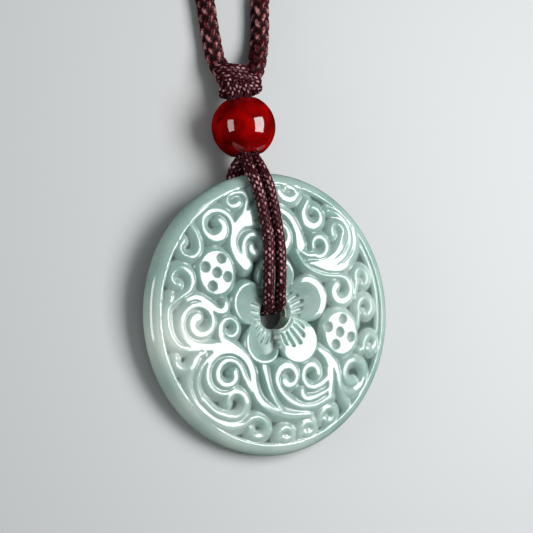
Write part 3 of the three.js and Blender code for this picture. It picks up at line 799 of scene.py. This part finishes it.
# Scrolls, in millimetres and degrees: the widths of the polished top, evenly from the root to the
# eye, where a width below zero makes a low keel; the stem's points from the root; and the curl as
# x, y, outer radius, inner radius, start, turn and squash
scrolls = [
    ((0.5, 0.5, 0.3, 1.1, 0.6), [(-7.1, 12.2)], (-9.8, 14.2, 3.0, 1.2, -15, 420, 1)),
    ((0.3, 0.5, 0.0, 0.35, 0.55), [(-4.9, 15.4)], (-5.75, 18.0, 2.35, 0.95, -35, 350, 0.68)),
    ((0.05, 0.35, 0.4, 0.15, 0.5), [(-13.9, 15.0), (-13.2, 13.4)],
     (-14.7, 11.45, 1.75, 1.3, 0, -230, 1)),
    ((0.1, 0.55, 0.5, 0.1, 0.35), [(-19.4, 2.6), (-17.2, 3.9)],
     (-16.85, 6.7, 2.25, 0.85, -50, 310, 1)),
    ((0.95, 0.55, 0.45, 0.7, 0.95), [(-11.6, -4.1)], (-14.2, -0.15, 3.6, 0.95, 265, -520, 1)),
    ((0.45, 0.75, 0.65, 0.8, 0.45), [(-16.0, 3.5), (-14.3, 3.75), (-12.4, 2.55), (-11.3, 1.6)],
     (-10.3, 2.25, 1.0, 0.9, -110, 125, 1)),
    ((0.2, 0.7, 0.9, 0.5, 0.2),
     [(-18.5, 4.2), (-19.6, 1.5), (-19.4, -1.5), (-17.9, -3.5), (-14.8, -4.2)], None),
    ((1.2, 1.05, 0.95, 1.6, 1.6),
     [(-5.3, 7.8), (-6.6, 9.4), (-7.2, 11.5), (-6.3, 13.6), (-4.2, 15.2), (-1.5, 16.1)], None),
    ((0.6, 0.4, 0.25), [(-4.4, 14.2), (-2.8, 14.2), (-1.2, 14.15)], None),
    ((0.7, 0.45, 0.65, 0.55, 0.75), [(-4.7, 8.0), (-5.4, 9.5)],
     (-3.25, 10.75, 2.1, 0.85, 165, -330, 1)),
    ((0.75, 0.65, 0.1, 0.35, 0.15), [(-7.6, -5.2), (-9.3, -3.9), (-10.7, -2.9)],
     (-9.1, -1.5, 1.75, 1.05, 190, -330, 1)),
    ((0.3, 0.15, 0.3, 0.3, 0.3), [(-13.8, -4.7), (-15.4, -5.2)],
     (-17.4, -5.5, 1.5, 1.25, -30, -170, 1)),
    ((1.2, 0.95, 0.9, 0.8, 0.45),
     [(-11.6, -4.1), (-8.7, -4.8), (-6.8, -6.2), (-5.85, -8.2), (-5.7, -10.7), (-4.8, -13.0),
      (-2.4, -14.9), (0.8, -16.0), (4.2, -16.2)], None),
    ((0.5, 0.45, 0.65, 0.55, 0.7), [(-6.2, -11.2), (-7.2, -9.2)],
     (-10.05, -8.45, 2.4, 1.2, 25, 345, 1)),
    ((0.4, 0.5, 0.45, 0.35, 0.15), [(-7.4, -5.7)], (-10.5, -8.6, 3.8, 2.5, 70, 235, 1)),
    ((0.4, 0.35, 0.2, 0.15, 0.2), [(-12.0, -4.8), (-14.5, -6.8), (-15.4, -9.3), (-14.8, -11.8)],
     None),
    ((0.3, 0.35, 0.7, 0.45, 0.4), [(-14.5, -11.9), (-12.6, -13.9)],
     (-9.15, -12.8, 2.3, 1.3, 250, 285, 1)),
    ((0.3, 0.5, 0.4, 0.25, 0.3),
     [(-15.0, -5.4), (-16.8, -8.5), (-16.2, -11.6), (-13.8, -14.5), (-10.6, -16.4), (-7.8, -16.4)],
     (-5.4, -17.3, 2.1, 1.3, 120, -310, 0.85)),
    ((0.75, 0.6, 0.4, 0.3, 0.3),
     [(-3.6, -7.85), (-3.3, -9.6), (-2.9, -11.5), (-2.2, -13.2), (-1.1, -14.9)], None),
    ((0.45, 0.6, 0.85, 0.4, 0.9), [(8.6, -13.9), (5.2, -15.0), (2.0, -14.4), (-0.4, -12.6)],
     (0.7, -10.0, 2.2, 1.0, 190, -335, 1)),
    ((0.6, 0.5, 0.5, 0.6, 0.6), [(8.4, -9.6), (8.2, -10.8)],
     (5.2, -9.95, 2.15, 1.15, -70, -290, 1)),
    ((0.5, 1.0, 0.75, 0.65, 0.5),
     [(6.9, -6.3), (8.3, -7.6), (8.8, -9.5), (8.6, -11.6), (8.3, -13.6)], None),
    ((0.8, 0.8, 0.55, 0.4, 0.3),
     [(8.4, -7.4), (9.6, -8.9), (10.15, -10.7), (10.4, -12.6), (11.9, -15.5)], None),
    ((0.25, 0.5, 0.6, 0.7, 0.5), [(8.2, -12.7), (6.0, -13.45)],
     (4.2, -12.4, 1.35, 1.2, 270, -95, 1)),
    ((0.4, 0.4, 0.4, 0.65, 0.3), [(10.1, -10.3)], (13.2, -10.8, 3.2, 1.35, 200, 440, 1)),
    ((0.1, 0.15, 0.55, 0.85, 0.8), [(4.2, 9.4), (5.6, 7.2), (8.0, 5.7), (10.2, 5.1)],
     (12.0, 2.6, 2.4, 1.15, 100, -330, 1)),
    ((0.2, 0.45, 0.55, 0.45, 0.35), [(4.9, 9.5), (6.4, 8.6)], (8.6, 10.0, 1.8, 1.15, 235, 315, 1)),
    ((0.35, 1.0, 0.75, 0.45, 0.15), [(7.6, 17.2)], (8.2, 14.8, 1.9, 1.3, 160, 290, 1)),
    ((0.2, 1.0, 0.4, 0.1, 0.6), [(6.6, 7.3), (9.6, 7.5), (12.3, 8.8)],
     (12.6, 12.0, 1.6, 1.0, -25, 225, 1)),
    ((0.1, 0.7, 0.3, 0.15, 0.1), [(7.0, 7.2), (9.2, 6.95), (12.2, 7.4)],
     (11.1, 11.6, 4.2, 3.9, -30, 115, 1)),
    ((0.1, 0.8, 0.9, 0.55, 0.4, 0.2), [(7.6, 6.95), (9.9, 6.35), (12.8, 6.3)],
     (11.1, 11.6, 5.5, 5.3, -38, 45, 1)),
    ((1.5, 1.0, 0.8, 0.65, 0.5), [(5.1, 10.3), (4.8, 12.4), (3.7, 14.8), (2.2, 16.0)], None),
    ((0.9, 0.65, 0.5, 0.3, 0.2), [], (1.15, 12.0, 2.0, 1.9, -60, 150, 1)),
    ((0.4, 0.4, 0.3, 0.4, 0.4), [], (-0.2, -18.9, 1.5, 0.85, 200, -320, 0.8)),
    ((0.4, 0.4, 0.3, 0.4, 0.4), [], (4.0, -18.5, 1.6, 0.85, 200, -320, 0.8)),
    ((0.3, 0.3, 0.4, 0.4, 0.3), [], (8.0, -16.9, 1.8, 0.9, 190, -330, 0.85)),
    ((0.2, 0.2, 0.2, 0.3, 0.4), [(14.9, -7.2)], (17.3, -6.5, 1.9, 0.9, 190, -320, 0.85)),
    ((0.1, 0.15, 0.2, 0.3, 0.15), [(14.7, -3.0)], (16.8, -0.6, 2.0, 1.0, 200, -320, 0.9)),
    ((0.1, 0.45, 0.2, 0.3, 0.1), [(14.6, 1.8)], (16.7, 4.2, 1.8, 0.9, 200, -320, 0.85)),
    ((0.6, 0.7, 0.3, 0.3, 0.2), [], (4.3, 18.9, 1.9, 0.9, 180, 310, 0.8)),
    ((0.45, 0.15), [(4.9, 17.6), (5.8, 18.2), (6.7, 19.1)], None),
    ((0.6, 0.4, 0.3, 0.3, 0.2), [], (-1.3, 18.9, 1.5, 0.85, 200, -320, 0.8)),
    ((-0.6, -0.9, -0.8, -0.9, -1.2),
     [(16.6, 10.4), (17.9, 8.1), (19.0, 4.9), (19.5, 1.5), (19.4, -2.0), (19.1, -4.6)], None),
]

# Each petal's direction in degrees, its size, the width of its polished edge and the reach of the
# slots cut in beside the bore. One petal's hollow also falls to one side, and one is flat.
blossom = {
    "petals": [
        {"at": 18.0, "size": 1.0, "lip": 0.95, "slotReach": 0.4},
        {"at": 88.0, "size": 0.95, "lip": 0.4, "slotReach": 0.3},
        {"at": 157.0, "size": 0.91, "lip": 0.28, "slotReach": 0.37},
        {"at": 233.0, "size": 0.92, "lip": 0.42, "roll": 0.17, "slotReach": 0.42},
        {"at": 305.0, "size": 0.96, "lip": 0.3, "slotReach": 0.56},
    ],
    "centre": 5.7,
    "radius": 3.5,
    "widest": 37.0,  # degrees to each side of a petal's direction
    "eye": 2.9,  # radius where the petals meet the bore
    "bowl": 1.35,  # how far a petal falls from its edge to the bore
    "bowlPower": 1.12,
    "rollFrom": 2.6,  # how far beside a petal's middle its hollow begins to fall to one side
    "flatPetal": 4,
    "cleft": (1.1, 0.35),  # how far petals fall at their sides, and the flat one
    "cleftAt": 36.0,  # degrees
    "cleftPower": 6,
    "edgeRun": 0.9,
    "margin": 0.25,  # round the petals, where only their own height counts
    "slots": 5,
    "slotDepth": 0.5,  # in the flat petal; in the others the slots' floors are level
    "slotGap": (16.5, 12.3),  # degrees, at the bore and at the slots' far ends
    "slotWidth": (0.36, 0.4),  # half widths, and in the flat petal
    "slotTaper": 0.65,  # width at the bore against the far end
    "slotFan": 0.03,  # how much shorter each slot is, from the middle out
    "slotLength": 5.8,  # a petal's length, for the rounding of the far ends
    "slotFloor": 1.8,  # how much of a slot in a hollow petal is level floor
    "slotPower": 0.7,
}

pod = {
    "diameter": 6.6,
    "high": 1.06,
    "flat": 0.93,
    "run": 1.2,
    "margin": 0.3,  # round a pod's top, where only its own height counts
    "hole": 1.7,
    "holeDepth": 0.55,
}
pods = [
    {"x": -10.6, "y": 7.2, "wide": 0.94,
     "holes": [(0.1, 0), (1.1, 2.1), (-1.8, 1.0), (1.9, -0.8), (-0.9, -2.0)]},
    {"x": 11.3, "y": -4.1, "wide": 0.97,
     "holes": [(-0.2, 0.2), (0.6, 2.2), (-2.3, 1.2), (1.9, -0.8), (-1.2, -1.7)]},
]


def scrollLine(stem, curl):
    points = [np.array(p, float) for p in stem]
    if curl:
        x, y, outer, inner, start, turn, squash = curl
        count = max(2, round(abs(turn) / 30))  # a point every 30 degrees or so
        outward = np.array((x, y)) / math.hypot(x, y)
        for i in range(count + 1):
            angle = math.radians(start + turn * i / count)
            radius = outer + (inner - outer) * i / count
            offset = radius * np.array((math.cos(angle), math.sin(angle)))
            offset += (squash - 1) * (offset @ outward) * outward
            points.append(np.array((x, y)) + offset)
    return smoothLine(points, 4)


scrollLines = [(scrollLine(stem, curl), width) for width, stem, curl in scrolls]


# How far points lie outside the polished tops of the scrolls; below zero they are on a top
def scrollEdge(x, y):
    reach = jade["wallRun"] + jade["webReach"]
    total = np.zeros_like(x)
    for line, widths in scrollLines:
        low, high = line.min(axis=0) - reach, line.max(axis=0) + reach
        near = np.nonzero((x > low[0]) & (x < high[0]) & (y > low[1]) & (y < high[1]))[0]
        if not len(near):
            continue
        half = np.interp(np.linspace(0, 1, len(line)), np.linspace(0, 1, len(widths)), widths) / 2
        closest = np.full(len(near), farAway)
        px, py = x[near], y[near]
        for i in range(len(line) - 1):
            (ax, ay), (bx, by) = line[i], line[i + 1]
            dx, dy = bx - ax, by - ay
            share = np.clip(((px - ax) * dx + (py - ay) * dy) / (dx * dx + dy * dy), 0, 1)
            away = np.hypot(px - ax - share * dx, py - ay - share * dy)
            closest = np.minimum(closest, away - half[i] - share * (half[i + 1] - half[i]))
        total[near] += np.exp(-closest / jade["web"])
    return -jade["web"] * np.log(np.maximum(total, 1e-20))


# A carved side, from 0 at the top's edge to 1 at the ground: flatter above, steeper below. The
# ground goes on falling a little.
def wall(share):
    t = np.clip(share, 0, 1)
    return t * (0.6 + 0.4 * t) + 0.2 * (1 - np.exp(-np.maximum(share - 1, 0) / 0.5))


def groundDepth(radius):
    share = (radius - jade["shallowFrom"]) / jade["shallowRun"]
    return jade["ground"] - jade["shallow"] * eased(share)


def petalValue(key, which):
    return np.array([petal.get(key, 0.0) for petal in blossom["petals"]])[which]


# Distance from the centre, degrees from the nearest petal's direction, how far out the petal ends
# there, and which petal it is
def petalShape(x, y):
    radius = np.hypot(x, y)
    directions = np.array([petal["at"] for petal in blossom["petals"]])
    offs = (np.degrees(np.arctan2(y, x))[..., None] - directions + 180) % 360 - 180
    which = np.abs(offs).argmin(axis=-1)
    off = np.take_along_axis(offs, which[..., None], axis=-1)[..., 0]
    widest, centre = blossom["widest"], blossom["centre"]
    sideways = centre * np.sin(np.radians(np.clip(off, -widest, widest)))
    outline = centre * np.cos(np.radians(off)) + np.sqrt(blossom["radius"] ** 2 - sideways**2)
    return radius, off, outline * petalValue("size", which), which


def petalEdge(x, y):
    radius, _, outline, _ = petalShape(x, y)
    return radius - outline


def lipEdge(x, y):
    radius, _, outline, which = petalShape(x, y)
    inner = radius - outline + petalValue("lip", which)
    return np.where(which == blossom["flatPetal"], farAway, inner)


# Share of its depth to which one of a petal's slots is cut
def slotCut(number, radius, off, share, which):
    flat = which == blossom["flatPetal"]
    start, end = blossom["slotGap"]
    reach = petalValue("slotReach", which)
    step = number - (blossom["slots"] - 1) / 2
    along = np.clip(share / reach, 0, 1)
    away = radius * np.radians(off - step * (start + (end - start) * along))
    taper = blossom["slotTaper"]
    width = np.where(flat, *blossom["slotWidth"][::-1]) * (taper + (1 - taper) * along)
    left = reach - blossom["slotFan"] * abs(step) - share
    ends = np.clip(left * blossom["slotLength"] / width, 0, 1)
    ends = np.sqrt(1 - (1 - ends) ** 2) * np.clip((share + 0.02) / 0.1, 0, 1)
    across = np.clip(1 - (away / (width * np.maximum(ends, 0.05))) ** 2, 0, 1)
    across = np.minimum(across * np.where(flat, 1, blossom["slotFloor"]), 1)
    return across ** blossom["slotPower"] * np.minimum(ends * 1.5, 1)


def petalHeight(x, y):
    radius, off, outline, which = petalShape(x, y)
    share = (radius - blossom["eye"]) / (outline - blossom["eye"])
    lips = petalValue("lip", which) / (outline - blossom["eye"])
    flat = which == blossom["flatPetal"]
    fall = np.clip((1 - lips - share) / (1 - lips), 0, 1)
    bowl = blossom["bowl"] * (1 - (1 - fall) ** blossom["bowlPower"])
    height = np.where(flat, 0.0, -bowl)
    deep = np.where(flat, blossom["slotDepth"], height + blossom["bowl"])
    aside = np.maximum(radius * np.sin(np.radians(off)) + blossom["rollFrom"], 0)
    height -= petalValue("roll", which) * aside * np.clip(fall * 5, 0, 1)
    mouth = np.clip(1 - (radius - boreRadius) / jade["mouth"], 0, 1)
    height -= jade["mouth"] * (1 - np.sqrt(1 - mouth**2))
    cleft = np.where(flat, *blossom["cleft"][::-1])
    sides = np.abs(off / blossom["cleftAt"]) ** blossom["cleftPower"]
    height -= cleft * sides * np.clip(share * 1.5, 0, 1)
    for number in range(blossom["slots"]):
        height -= deep * slotCut(number, radius, off, share, which)
    return height - groundDepth(radius) * wall((radius - outline) / blossom["edgeRun"])


def podEdge(x, y, one):
    half = pod["diameter"] / 2
    away = np.hypot((x - one["x"]) / one["wide"], (y - one["y"]) / pod["high"])
    return away - half * pod["flat"]


def podHeight(x, y, one):
    height = -jade["ground"] * wall(podEdge(x, y, one) / pod["run"])
    for dx, dy in one["holes"]:
        away = np.hypot(x - one["x"] - dx, y - one["y"] - dy) / (pod["hole"] / 2)
        height -= pod["holeDepth"] * np.clip(1 - away**2, 0, 1)
    return height


def bandEdge(x, y):
    return bandInner - jade["bandStep"] - np.hypot(x, y)


# Height of the carving against the crown of the face, 0 on the polished tops
def reliefHeight(x, y):
    depth = groundDepth(np.hypot(x, y))
    scrollHeight = -depth * wall(scrollEdge(x, y) / jade["wallRun"])
    band = -depth * wall(bandEdge(x, y) / jade["bandRun"])
    height = np.maximum(scrollHeight, band)
    for one in pods:
        own = podHeight(x, y, one)
        height = np.where(podEdge(x, y, one) < pod["margin"], own, np.maximum(height, own))
    petals = petalHeight(x, y)
    return np.where(petalEdge(x, y) < blossom["margin"], petals, np.maximum(height, petals))


def crownHeight(radius):
    return crownTop - jade["crown"] * np.minimum(1, radius / bandInner) ** jade["crownPower"]


# Moves the points that lie near an edge onto it, so that the edge comes out crisp
def snapTo(edge, x, y, reach):
    away = edge(x, y)
    near = np.nonzero(np.abs(away) < reach)[0]
    if not len(near):
        return
    for _ in range(2):
        px, py, small = x[near], y[near], 0.01
        here = edge(px, py)
        slopeX = (edge(px + small, py) - here) / small
        slopeY = (edge(px, py + small) - here) / small
        steep = np.maximum(slopeX**2 + slopeY**2, 0.2)
        x[near] -= here * slopeX / steep
        y[near] -= here * slopeY / steep


def holeEdge(x, y):
    away = np.full_like(x, farAway)
    for one in pods:
        for dx, dy in one["holes"]:
            middle = np.hypot(x - one["x"] - dx, y - one["y"] - dy)
            away = np.minimum(away, middle - pod["hole"] / 2)
    return away


def ringOf(radius, count):
    angle = fullTurn(count)
    return np.column_stack([radius * np.cos(angle), radius * np.sin(angle)])


# Points of the face from above: a ring at the rim, one at the bore, and an even grid whose points
# are moved onto the edges of the carving
def facePoints(faceEdge):
    spacing = jade["spacing"]
    row = spacing * math.sqrt(3) / 2
    rows = np.arange(-int(faceEdge / row), int(faceEdge / row) + 1)
    columns = np.arange(-int(faceEdge / spacing) - 1, int(faceEdge / spacing) + 2)
    x, y = np.meshgrid(columns * spacing, rows * row)
    x = x + 0.5 * spacing * (rows % 2)[:, None]
    radius = np.hypot(x, y)
    clear = jade["ringClear"] * spacing
    keep = (radius < faceEdge - clear) & (radius > boreRadius + clear)
    x, y = x[keep], y[keep]
    podEdges = [lambda px, py, one=one: podEdge(px, py, one) for one in pods]
    for edge in (scrollEdge, *podEdges, holeEdge, petalEdge, lipEdge, bandEdge):
        snapTo(edge, x, y, spacing * jade["snapReach"])
    radius = np.hypot(x, y)
    keep = (radius < faceEdge - jade["rimClear"]) & (radius > boreRadius + jade["boreClear"])
    rim, bore = ringOf(faceEdge, jade["rimCount"]), ringOf(boreRadius, jade["boreCount"])
    return np.vstack([rim, bore, np.column_stack([x[keep], y[keep]])])


# Painted shade, from 0 to 1: the deeper the carving, the darker the stone is painted, less so in
# the petals, and the pods' holes are painted dark too
def hollowShading(x, y, relief):
    depth = groundDepth(np.hypot(x, y))
    dark = eased((-relief / depth - jade["shadeFrom"]) / jade["shadeRun"])
    dark = dark * np.where(petalEdge(x, y) < 0, jade["petalShade"], 1)
    return np.maximum(dark, jade["holeShade"] * (holeEdge(x, y) < 0))


# The rim from the face's edge to the back, as (radius, height). Its upper rounding starts with the
# slope of the face.
def rimProfile(faceEdge):
    rounding = jade["rimRounding"]
    above, below = jade["roundingSteps"]
    slope = math.atan(jade["crown"] * jade["crownPower"] / bandInner)
    upper = (discRadius - faceEdge) / (1 - math.sin(slope))
    level = jade["rim"] - upper * math.cos(slope)
    profile = []
    for a in np.linspace(math.pi / 2 - slope, 0, above)[1:]:
        profile.append((discRadius - upper + upper * math.cos(a), level + upper * math.sin(a)))
    for a in np.radians(np.linspace(0, -90, below)):
        profile.append((bandInner + rounding * math.cos(a), rounding + rounding * math.sin(a)))
    return profile + [(bandInner - jade["backRings"][0], 0.0)]


# Adds rings of points, given as (radius, height), and the faces between them and the first ring
def addRings(points, faces, profile, firstRing):
    count, previous = len(firstRing), firstRing
    for radius, z in profile:
        base = sum(len(body) for body in points)
        points.append(np.column_stack([ringOf(radius, count), np.full(count, z)]))
        here = list(range(base, base + count))
        for i in range(count):
            k = (i + 1) % count
            faces.append([previous[i], here[i], here[k], previous[k]])
        previous = here
    return previous


def triangles(points):
    flat = [Vector(point) for point in points]
    corners, _, faces, origins, _, _ = delaunay_2d_cdt(flat, [], [], 0, 1e-5, True)
    return corners, faces, origins


def makeJade():
    faceEdge = bandInner + jade["faceReach"]
    rimCount, boreCount = jade["rimCount"], jade["boreCount"]
    flat, faces, origins = triangles(facePoints(faceEdge))
    first = {source[0]: i for i, source in enumerate(origins) if source}
    flat = np.array(flat)
    centres = flat[np.array(faces)].mean(axis=1)
    inBore = np.hypot(centres[:, 0], centres[:, 1]) < boreRadius * math.cos(math.pi / boreCount)
    faces = [list(face) for face, skip in zip(faces, inBore) if not skip]
    x, y = flat[:, 0], flat[:, 1]
    relief = reliefHeight(x, y)
    wobble = jade["wobble"] * np.sin(1.1 * x + 0.6 * y) * np.sin(0.9 * y - 0.5 * x + 1)
    points = [np.column_stack([flat, crownHeight(np.hypot(x, y)) + relief + wobble])]

    # the rim, then the bore, its chamfer and a ring on the back
    outer = [first[i] for i in range(rimCount)]
    inner = [first[rimCount + i] for i in range(boreCount)]
    backOuter = addRings(points, faces, rimProfile(faceEdge), outer)
    backHole = boreRadius + jade["chamfer"]
    boreProfile = [(boreRadius, jade["boreRing"]), (boreRadius, jade["chamfer"]),
                   (backHole, 0.0), (backHole + jade["backRings"][1], 0.0)]
    backInner = addRings(points, faces, boreProfile, inner)

    # the flat back between both rings
    allPoints = np.vstack(points)
    rings = backOuter + backInner
    _, backFaces, backOrigins = triangles(allPoints[rings][:, :2])
    for face in backFaces:
        corners = [rings[backOrigins[i][0]] for i in face]
        middle = allPoints[corners][:, :2].mean(axis=0)
        if np.hypot(*middle) > backHole + jade["backFrom"]:
            faces.append(corners[::-1])
    # painted shade, on the carved face only
    hollowShade = np.zeros(len(allPoints))
    hollowShade[:len(flat)] = hollowShading(x, y, relief)
    return allPoints, faces, hollowShade


def leaned(points):
    turn = np.array(Matrix.Rotation(lean, 3, "X"))
    return points @ turn.T + np.array((0, 0, lift))


# Whitish clouds in the stone: x, y, size and strength
paleClouds = [
    (-20.0, -2.0, 5.0, 0.9), (-14.5, -1.5, 3.0, 0.4), (15.0, -1.0, 7.0, 0.35),
    (-9.0, -14.0, 4.0, 0.3), (-17.0, -13.0, 4.5, 0.5), (-10.0, -20.0, 4.5, 0.5),
    (1.0, -22.0, 5.0, 0.5),
]


# The pale share of each point: the stone's own whitish clouds, and painted light in the bore
def paleCloudsAndBoreLight(points):
    radius = np.hypot(points[:, 0], points[:, 1])
    # painted light: the bore's walls are painted pale, as though light gathered in them
    total = np.where(radius < boreRadius + 0.1, 1.0, 0.0)
    for x, y, size, strength in paleClouds:
        away = np.hypot(points[:, 0] - x, points[:, 1] - y)
        total += strength * np.exp(-((away / size) ** 2))
    return np.clip(total, 0, 1)


jadePoints, jadeFaces, jadeHollowShade = makeJade()
# painted shade; and the pale colour, which is whitish clouds in the stone and painted light in the
# bore
jadeLooks = {"hollowShade": jadeHollowShade, "cloudsAndBoreLight": paleCloudsAndBoreLight(jadePoints)}
jadePiece = makePiece("jadeDisc", leaned(jadePoints), jadeFaces, jadeMaterial(), jadeLooks)
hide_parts("jade_disc")
print("jade made,", len(jadeFaces), "faces")
